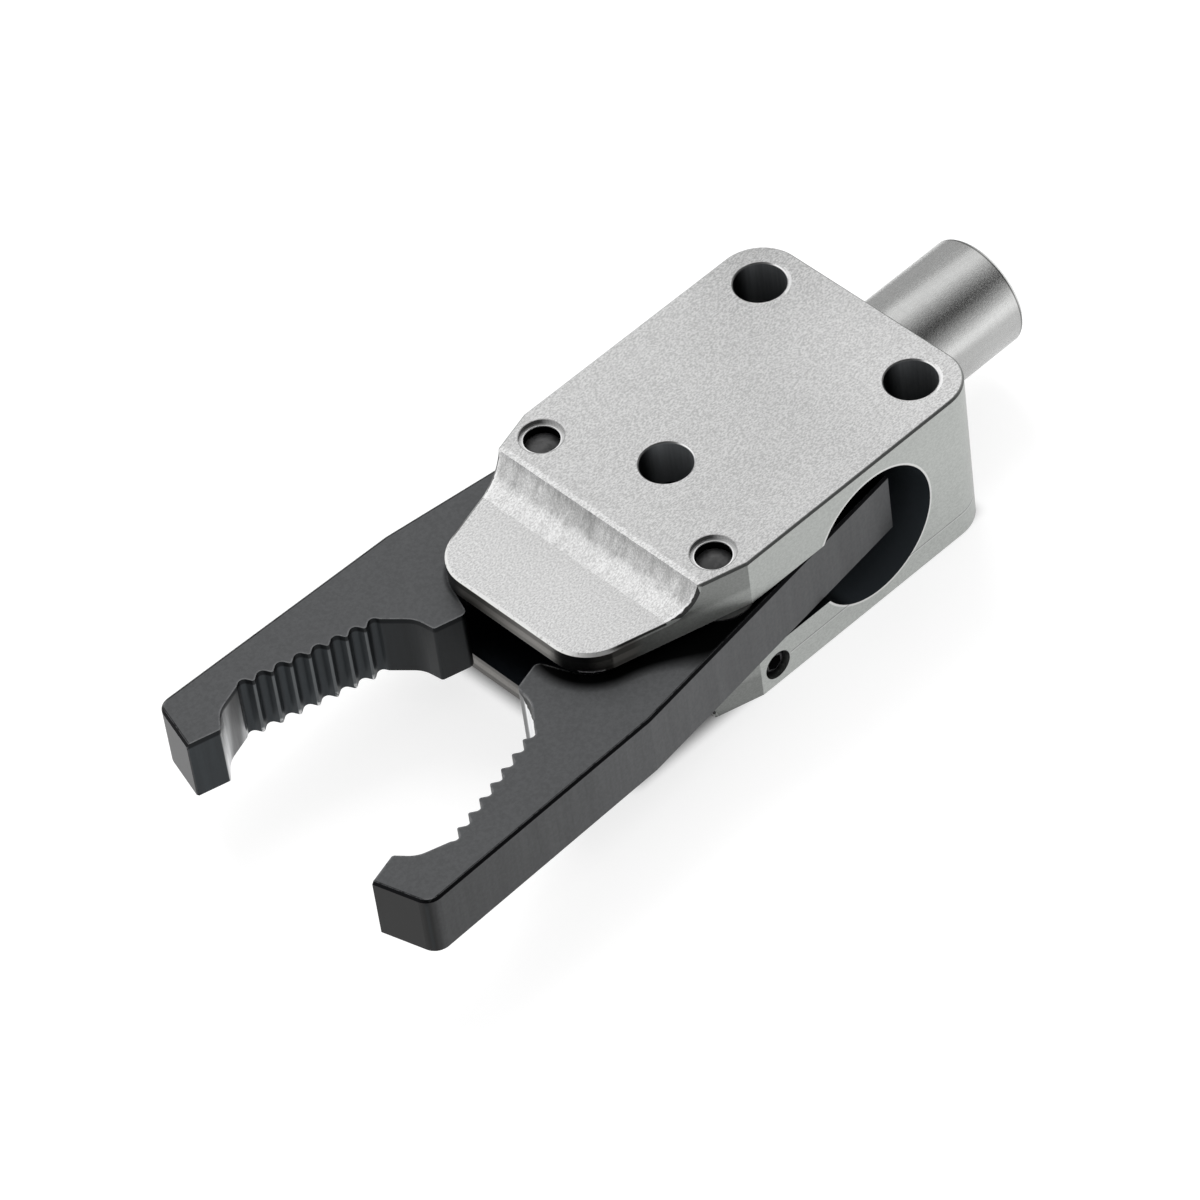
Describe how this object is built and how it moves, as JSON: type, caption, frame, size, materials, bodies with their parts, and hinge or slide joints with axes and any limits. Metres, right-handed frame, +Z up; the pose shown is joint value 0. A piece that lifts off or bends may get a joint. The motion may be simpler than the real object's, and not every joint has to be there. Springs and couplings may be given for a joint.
{
  "type": "sprue gripper",
  "caption": "Small pneumatic gripper with a clamping shank, a clevis housing and toothed jaws that pick sprues from a mould.",
  "frame": {"origin": "where the shank's axis meets the rear face of the housing", "axes": "+X along the shank's axis towards the jaw tips, +Z up through the thin way of the housing, +Y to the left side as seen from the shank"},
  "size_m": [0.0773, 0.031, 0.0154],
  "materials": {
    "housing_alloy": "matte",
    "shank_steel": "satin",
    "black_jaw_steel": "matte",
    "hardened_steel": "satin",
    "black_screw_steel": "satin",
    "shim_steel": "satin",
    "spring_steel": "satin",
    "piston_alloy": "satin",
    "bush_bronze": "satin",
    "seal_rubber": "matte"
  },
  "bodies": {
    "housing": {"housing": "housing_alloy", "shank": "shank_steel", "shank_seal": "seal_rubber", "set_screws": "black_screw_steel", "opening_spring": "spring_steel", "pivot_pin_left": "hardened_steel", "upper_washer_left": "shim_steel", "lower_washer_left": "shim_steel", "pivot_pin_right": "hardened_steel", "upper_washer_right": "shim_steel", "lower_washer_right": "shim_steel"},
    "jaw_left": {"jaw_left": "black_jaw_steel", "jaw_bush_left": "bush_bronze"},
    "jaw_right": {"jaw_right": "black_jaw_steel", "jaw_bush_right": "bush_bronze"},
    "piston_left": {"piston_left": "piston_alloy", "piston_seal_left": "seal_rubber", "piston_nose_left": "hardened_steel"},
    "piston_right": {"piston_right": "piston_alloy", "piston_seal_right": "seal_rubber", "piston_nose_right": "hardened_steel"}
  },
  "joints": [
    {"name": "jaw_left_hinge", "type": "hinge", "parent": "housing", "child": "jaw_left", "pos_m": [0.0273, 0.0096, 0], "axis": [0, 0, -1], "range_deg": [0, 15.6], "stiffness_Nm_per_rad": 0.05, "springref_deg": -8.59, "deforming": ["opening_spring"]},
    {"name": "jaw_right_hinge", "type": "hinge", "parent": "housing", "child": "jaw_right", "pos_m": [0.0273, -0.0096, 0], "axis": [0, 0, 1], "range_deg": [0, 15.6], "stiffness_Nm_per_rad": 0.05, "springref_deg": -8.59},
    {"name": "piston_left_slide", "type": "slide", "parent": "housing", "child": "piston_left", "axis": [0, 1, 0], "range_m": [0, 0.0039]},
    {"name": "piston_right_slide", "type": "slide", "parent": "housing", "child": "piston_right", "axis": [0, -1, 0], "range_m": [0, 0.0039]}
  ],
  "couplings": [
    {"joint": "jaw_right_hinge", "follows": "jaw_left_hinge", "ratio": 1},
    {"joint": "piston_left_slide", "follows": "jaw_left_hinge", "m_per_rad": 0.014277},
    {"joint": "piston_right_slide", "follows": "jaw_left_hinge", "m_per_rad": 0.014277}
  ]
}
